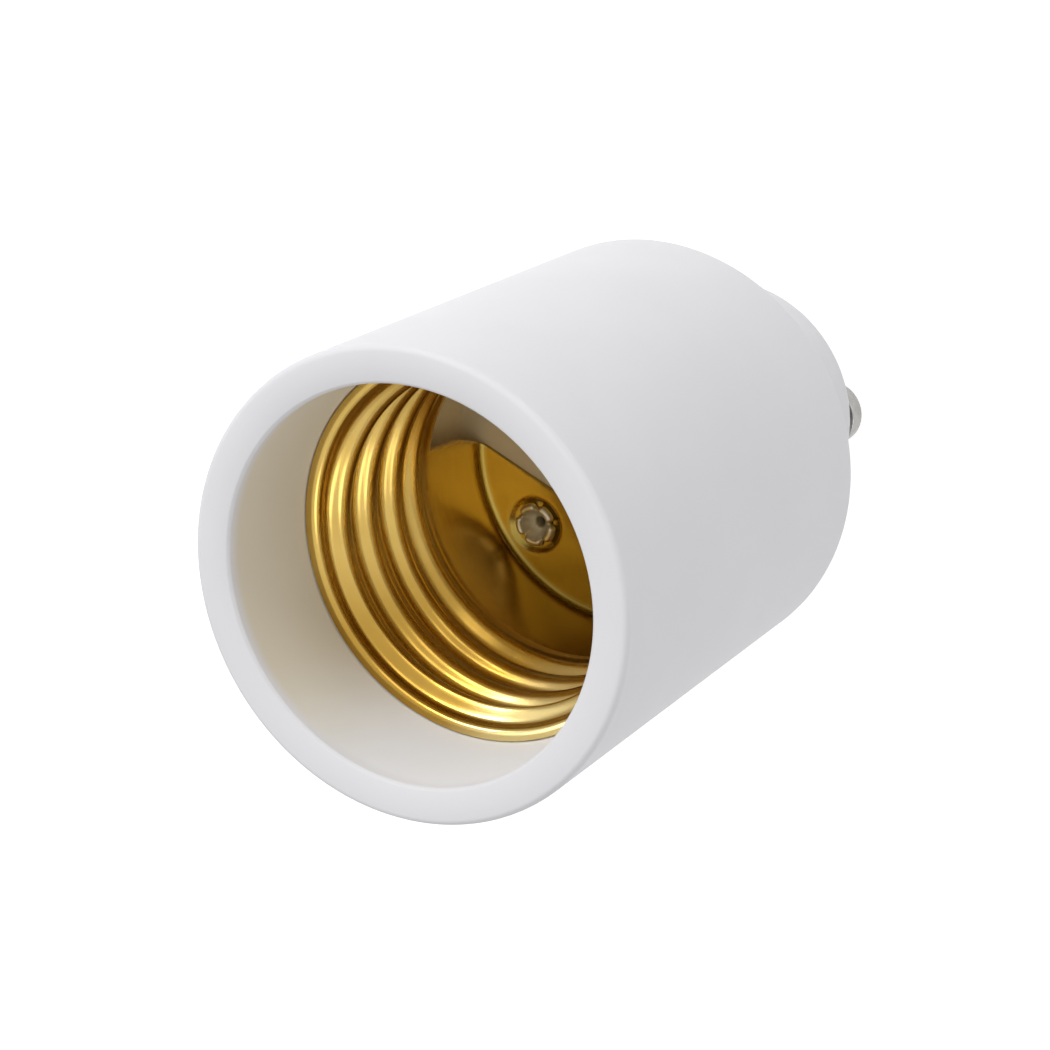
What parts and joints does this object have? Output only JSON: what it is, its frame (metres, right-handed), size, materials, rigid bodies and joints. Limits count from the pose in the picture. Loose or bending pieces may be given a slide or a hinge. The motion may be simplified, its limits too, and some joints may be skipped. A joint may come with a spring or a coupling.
{
  "type": "lamp socket adapter",
  "caption": "Tubular white lamp socket adapter with a brass screw socket in its mouth and twist-lock pins on its narrow neck.",
  "frame": {"origin": "centre of the neck's end face, between the two pins", "axes": "+Z along the socket's axis out of its mouth; the pins lie on X and stand out along -Z"},
  "size_m": [0.0344, 0.0344, 0.0582],
  "materials": {
    "white_plastic": "moulded, satin",
    "brass": "pressed sheet, bright",
    "nickel": "nickel plated",
    "copper": "bare conductor",
    "sleeving": "woven insulating sleeve"
  },
  "bodies": {
    "root": {"housing": "white_plastic", "base": "white_plastic", "threaded_shell": "brass", "centre_contact": "brass", "contact_rivet": "nickel", "shell_rivet": "nickel", "contact_terminal": "nickel", "shell_terminal": "nickel", "contact_lead_wire": "copper", "shell_lead_wire": "copper", "contact_lead_sleeve": "sleeving", "shell_lead_sleeve": "sleeving", "live_pin": "nickel", "neutral_pin": "nickel", "lock_washers": "nickel"}
  },
  "joints": []
}
